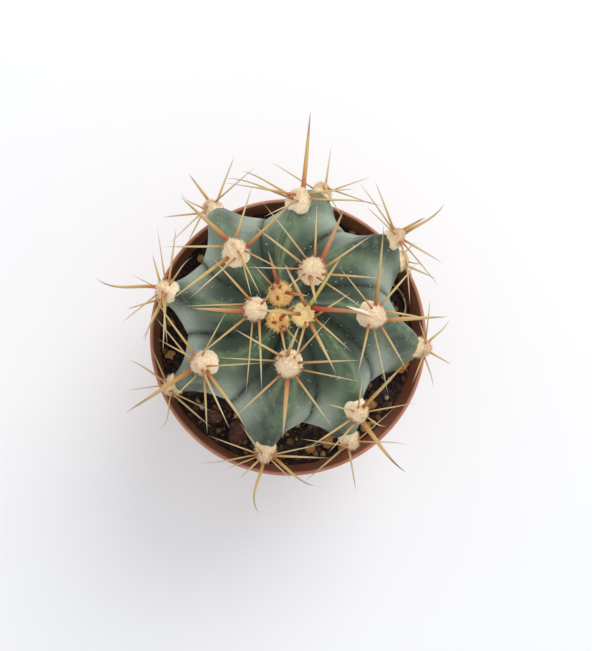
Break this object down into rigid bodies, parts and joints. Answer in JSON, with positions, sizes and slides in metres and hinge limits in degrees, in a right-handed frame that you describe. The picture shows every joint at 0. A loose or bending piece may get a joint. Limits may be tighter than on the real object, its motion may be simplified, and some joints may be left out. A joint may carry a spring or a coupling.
{
  "type": "potted round cactus",
  "caption": "Young ribbed barrel cactus with woolly spined areoles, standing in dark soil in a round terracotta-coloured plastic nursery pot.",
  "frame": {"origin": "middle of the pot's underside, on the surface it stands on", "axes": "+Z up; +Y towards the side the plant leans to most, over the back of the rim; +X to the right seen from above with +Y up"},
  "size_m": [0.105, 0.1163, 0.1335],
  "materials": {
    "pot_plastic": "matt moulded terracotta-brown plastic",
    "potting_mix": null,
    "cactus_flesh": null,
    "wool_and_spines": "cream wool with golden to red-brown woody spines",
    "pumice": "rough, dusty",
    "bark": "rough, dry",
    "fibre": "dry, matt"
  },
  "bodies": {
    "root": {"pot": "pot_plastic", "soil": "potting_mix", "cactus_stem": "cactus_flesh", "root_fibre": "fibre", "areole_01": "wool_and_spines", "areole_02": "wool_and_spines", "areole_03": "wool_and_spines", "areole_04": "wool_and_spines", "areole_05": "wool_and_spines", "areole_06": "wool_and_spines", "areole_07": "wool_and_spines", "areole_08": "wool_and_spines", "areole_09": "wool_and_spines", "areole_10": "wool_and_spines", "areole_11": "wool_and_spines", "areole_12": "wool_and_spines", "areole_13": "wool_and_spines", "areole_14": "wool_and_spines", "areole_15": "wool_and_spines", "areole_16": "wool_and_spines", "areole_17": "wool_and_spines", "areole_18": "wool_and_spines", "areole_19": "wool_and_spines", "areole_20": "wool_and_spines", "areole_21": "wool_and_spines", "pumice_01": "pumice", "pumice_02": "pumice", "pumice_03": "pumice", "pumice_04": "pumice", "pumice_05": "pumice", "pumice_06": "pumice", "pumice_07": "pumice", "pumice_08": "pumice", "pumice_09": "pumice", "pumice_10": "pumice", "bark_01": "bark", "bark_02": "bark"}
  },
  "joints": []
}
